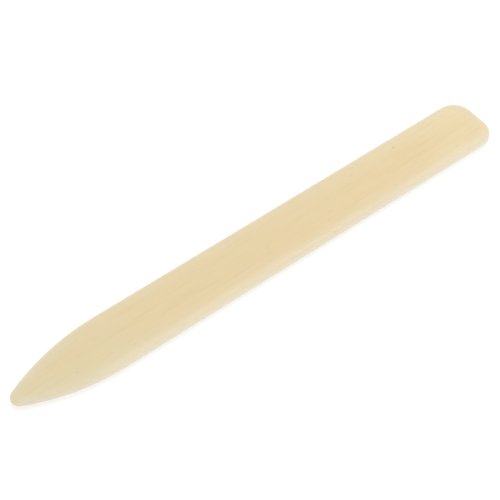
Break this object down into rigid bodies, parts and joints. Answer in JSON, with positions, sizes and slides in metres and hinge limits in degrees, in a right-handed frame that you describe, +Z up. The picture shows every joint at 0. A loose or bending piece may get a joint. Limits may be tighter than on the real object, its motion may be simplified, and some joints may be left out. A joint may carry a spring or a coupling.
{
  "type": "bone folder",
  "caption": "Flat bone blade with a rounded point and a square, slightly slanted heel, for pressing seams open and creasing folds.",
  "frame": {"origin": "centre of the blade's length and width, on the flat face that it rests on", "axes": "+X along the blade from the point to the heel, +Y across the width towards the shorter side, +Z up through the thickness"},
  "size_m": [0.152, 0.0166, 0.003],
  "materials": {
    "bone": "natural bone, filed smooth and polished to a soft satin"
  },
  "bodies": {
    "root": {"bone_folder": "bone"}
  },
  "joints": []
}
